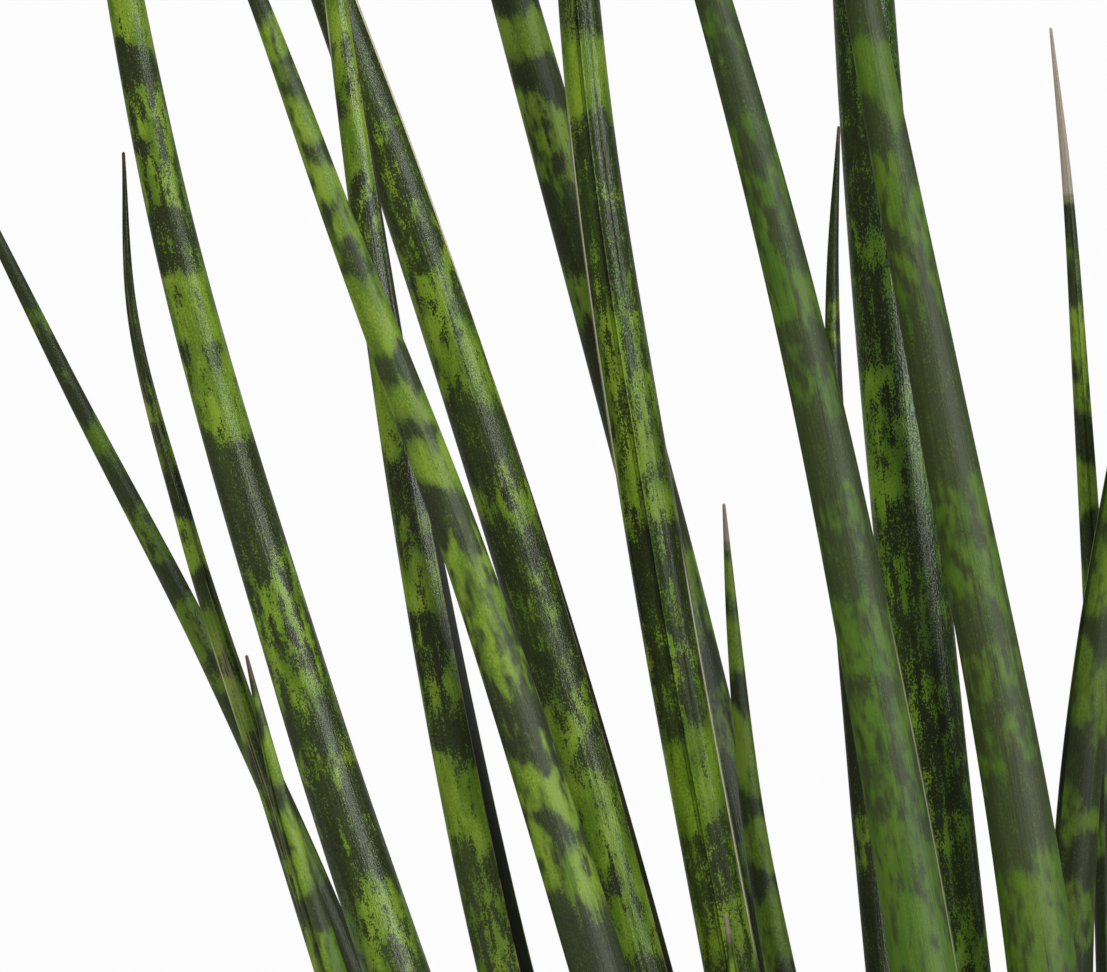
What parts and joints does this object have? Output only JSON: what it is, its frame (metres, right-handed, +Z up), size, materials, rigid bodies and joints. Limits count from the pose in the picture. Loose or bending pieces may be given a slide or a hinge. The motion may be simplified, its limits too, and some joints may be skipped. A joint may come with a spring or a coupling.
{
  "type": "potted mikado snake plant",
  "caption": "Upright fan of slender, nearly round, pointed leaves with dark and light green cross bands, standing in soil in a plain tapered clay pot.",
  "frame": {"origin": "centre of the pot's flat foot", "axes": "+Z up, out of the pot; -Y towards the picture's camera, so that the leaves of the picture are on the -X side"},
  "size_m": [0.475, 0.3159, 0.9],
  "materials": {
    "leaf": "waxy satin succulent skin, dark grey-green with lighter green cross bands",
    "sheath": "dry papery scale leaf, straw brown with purplish bands",
    "soil": "loose dark potting mix with bark crumbs",
    "rhizome": "smooth orange-brown underground stem",
    "pot": "unglazed terracotta, fine grained and matt"
  },
  "bodies": {
    "root": {"leaf_01": "leaf", "leaf_02": "leaf", "leaf_03": "leaf", "leaf_04": "leaf", "leaf_05": "leaf", "leaf_06": "leaf", "leaf_07": "leaf", "leaf_08": "leaf", "leaf_09": "leaf", "leaf_10": "leaf", "leaf_11": "leaf", "leaf_12": "leaf", "leaf_13": "leaf", "leaf_14": "leaf", "leaf_15": "leaf", "leaf_16": "leaf", "leaf_17": "leaf", "leaf_18": "leaf", "leaf_19": "leaf", "leaf_20": "leaf", "leaf_21": "leaf", "leaf_22": "leaf", "leaf_23": "leaf", "leaf_24": "leaf", "leaf_25": "leaf", "leaf_26": "leaf", "leaf_27": "leaf", "leaf_28": "leaf", "leaf_29": "leaf", "leaf_30": "leaf", "leaf_31": "leaf", "leaf_32": "leaf", "leaf_33": "leaf", "leaf_34": "leaf", "sheath_01": "sheath", "sheath_02": "sheath", "sheath_03": "sheath", "sheath_04": "sheath", "sheath_05": "sheath", "sheath_06": "sheath", "sheath_07": "sheath", "sheath_08": "sheath", "sheath_09": "sheath", "sheath_10": "sheath", "sheath_11": "sheath", "sheath_12": "sheath", "sheath_13": "sheath", "sheath_14": "sheath", "sheath_15": "sheath", "sheath_16": "sheath", "sheath_17": "sheath", "rhizome": "rhizome", "soil": "soil", "pot": "pot"}
  },
  "joints": []
}
